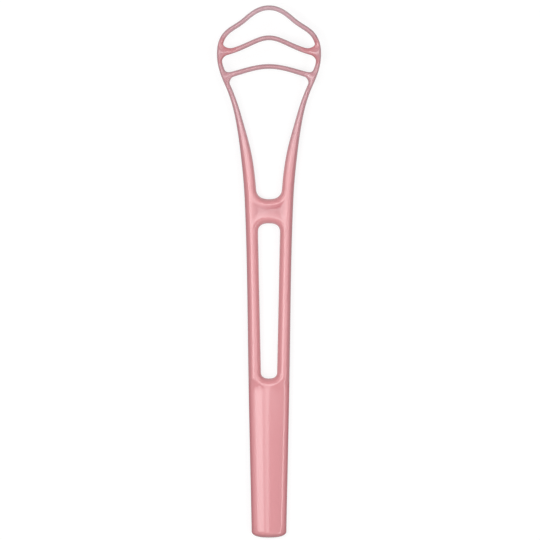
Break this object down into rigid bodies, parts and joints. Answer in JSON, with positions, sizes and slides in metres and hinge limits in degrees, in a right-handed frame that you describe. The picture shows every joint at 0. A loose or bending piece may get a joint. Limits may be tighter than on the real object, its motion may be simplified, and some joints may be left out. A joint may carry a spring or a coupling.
{
  "type": "tongue scraper",
  "caption": "Slim moulded hand tool with a flat-backed slotted handle that forks into flared arms around a looped, open scraping head.",
  "frame": {"origin": "on the plane that the flat back of the handle lies on, under the centre of the outline", "axes": "+Y from the grip to the scraping head, +Z out of the face, +X to the right as seen from the face"},
  "size_m": [0.0342, 0.175, 0.0079],
  "materials": {
    "plastic": "gloss"
  },
  "bodies": {
    "root": {"grip": "plastic", "left_rail": "plastic", "right_rail": "plastic", "bridge": "plastic", "left_arm": "plastic", "right_arm": "plastic", "left_side": "plastic", "right_side": "plastic", "rear_bar": "plastic", "middle_bar": "plastic", "front_bar": "plastic"}
  },
  "joints": []
}
